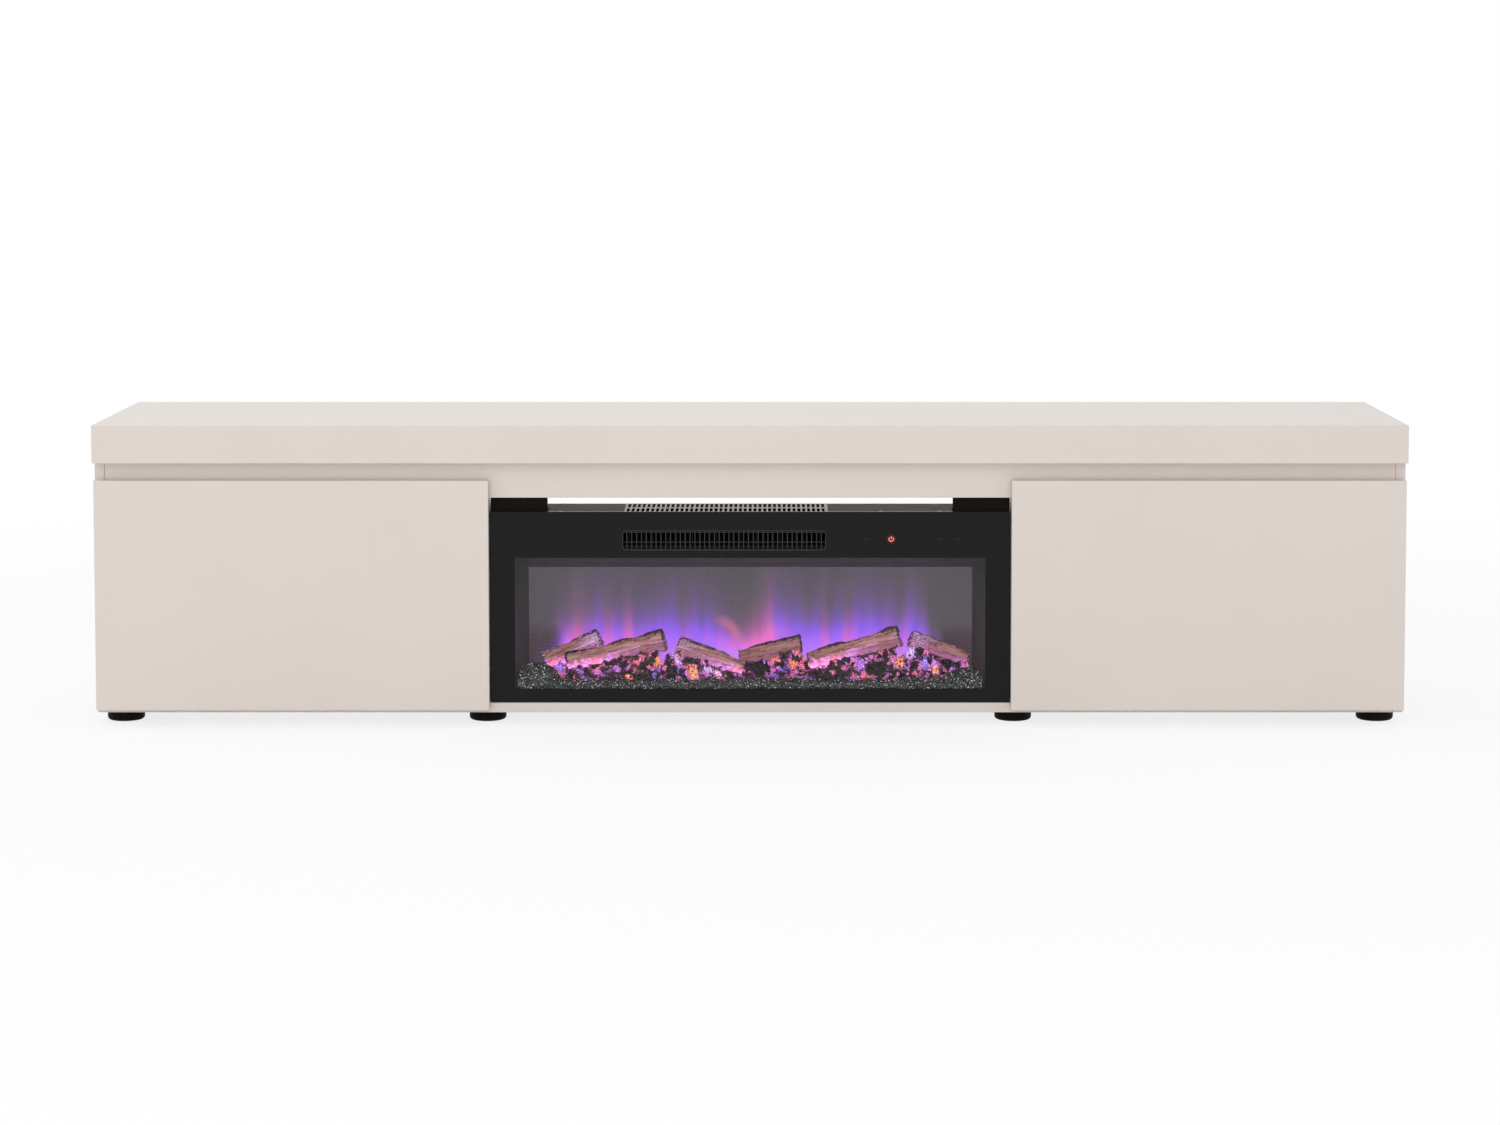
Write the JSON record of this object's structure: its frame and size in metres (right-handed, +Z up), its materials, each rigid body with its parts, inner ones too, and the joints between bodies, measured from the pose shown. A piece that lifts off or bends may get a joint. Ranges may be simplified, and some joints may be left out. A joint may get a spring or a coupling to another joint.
{
  "type": "fireplace tv stand",
  "caption": "Low cabinet for a television with an electric fire in its open middle bay, drop-down flaps on either side and round feet.",
  "frame": {"origin": "on the floor, under the middle of the stand's outer box", "axes": "+Z up; the front with the fire and the flaps looks towards -Y; +X is to the right seen from the front"},
  "size_m": [2, 0.4, 0.464],
  "materials": {
    "cashmere_board": "satin warm beige foil over board",
    "back_board": "matt beige thin board",
    "foot_plastic": "moulded black",
    "hinge_steel": "zinc plated",
    "black_glass": "gloss black printed glass with a clear window",
    "outlet_plastic": "moulded black",
    "grey_steel": "grey, finely speckled",
    "black_steel": "matt black",
    "liner_paint": "matt dark grey",
    "flame_screen": "frosted, lit by the flames",
    "log_resin": "moulded split log",
    "ember_resin": "moulded embers, lit from below",
    "gravel_crystal": "dark clear crystals",
    "paddle_foil": "bright foil",
    "heater_fins": "plain",
    "circuit_board": "green laminate"
  },
  "bodies": {
    "cabinet": {"top_board": "cashmere_board", "top_front_fascia": "cashmere_board", "front_rail": "cashmere_board", "bottom_panel": "cashmere_board", "rear_stretcher": "cashmere_board", "left_side_panel": "cashmere_board", "right_side_panel": "cashmere_board", "left_partition": "cashmere_board", "right_partition": "cashmere_board", "left_back_panel": "back_board", "right_back_panel": "back_board", "foot_front_1": "foot_plastic", "foot_front_2": "foot_plastic", "foot_front_3": "foot_plastic", "foot_front_4": "foot_plastic", "foot_rear_1": "foot_plastic", "foot_rear_2": "foot_plastic", "foot_rear_3": "foot_plastic", "foot_rear_4": "foot_plastic", "left_hinge_plate_1": "hinge_steel", "left_hinge_plate_2": "hinge_steel", "right_hinge_plate_1": "hinge_steel", "right_hinge_plate_2": "hinge_steel", "left_stay_stud": "hinge_steel", "right_stay_stud": "hinge_steel", "fire_front_glass": "black_glass", "outlet_grille": "outlet_plastic", "fire_housing": "grey_steel", "fire_top_cover": "grey_steel", "left_fixing_bracket": "black_steel", "right_fixing_bracket": "black_steel", "firebox_liner": "liner_paint", "flame_screen": "flame_screen", "log_1": "log_resin", "log_2": "log_resin", "log_3": "log_resin", "log_4": "log_resin", "log_5": "log_resin", "log_6": "log_resin", "ember_bed": "ember_resin", "crystal_gravel": "gravel_crystal", "flame_led_tray": "grey_steel", "flame_motor": "black_steel", "blower_duct": "grey_steel", "blower_motor": "black_steel", "heater_element": "heater_fins", "control_board": "circuit_board", "cord_gland": "outlet_plastic"},
    "left_flap": {"left_flap": "cashmere_board", "left_hinge_leaf_1": "hinge_steel", "left_hinge_leaf_2": "hinge_steel", "left_stay_bracket": "hinge_steel"},
    "right_flap": {"right_flap": "cashmere_board", "right_hinge_leaf_1": "hinge_steel", "right_hinge_leaf_2": "hinge_steel", "right_stay_bracket": "hinge_steel"},
    "left_stay": {"left_stay_arm": "hinge_steel"},
    "right_stay": {"right_stay_arm": "hinge_steel"},
    "flame_spindle": {"flame_spindle": "paddle_foil"},
    "blower_wheel": {"blower_wheel": "outlet_plastic"}
  },
  "joints": [
    {"name": "left_flap_hinge", "type": "hinge", "parent": "cabinet", "child": "left_flap", "pos_m": [-0.7, -0.185, 0.03], "axis": [1, 0, 0], "range_deg": [0, 90]},
    {"name": "right_flap_hinge", "type": "hinge", "parent": "cabinet", "child": "right_flap", "pos_m": [0.7, -0.185, 0.03], "axis": [1, 0, 0], "range_deg": [0, 90]},
    {"name": "left_stay_pivot", "type": "hinge", "parent": "left_flap", "child": "left_stay", "pos_m": [-0.977, -0.165, 0.17866], "axis": [1, 0, 0], "range_deg": [-45, 0]},
    {"name": "right_stay_pivot", "type": "hinge", "parent": "right_flap", "child": "right_stay", "pos_m": [0.977, -0.165, 0.17866], "axis": [1, 0, 0], "range_deg": [-45, 0]},
    {"name": "flame_spindle_turn", "type": "hinge", "parent": "cabinet", "child": "flame_spindle", "pos_m": [0, -0.067, 0.0622], "axis": [1, 0, 0], "continuous": true},
    {"name": "blower_wheel_turn", "type": "hinge", "parent": "cabinet", "child": "blower_wheel", "pos_m": [0, -0.118, 0.2958], "axis": [1, 0, 0], "continuous": true}
  ],
  "couplings": [
    {"joint": "left_stay_pivot", "follows": "left_flap_hinge", "ratio": -0.5},
    {"joint": "right_stay_pivot", "follows": "right_flap_hinge", "ratio": -0.5}
  ]
}
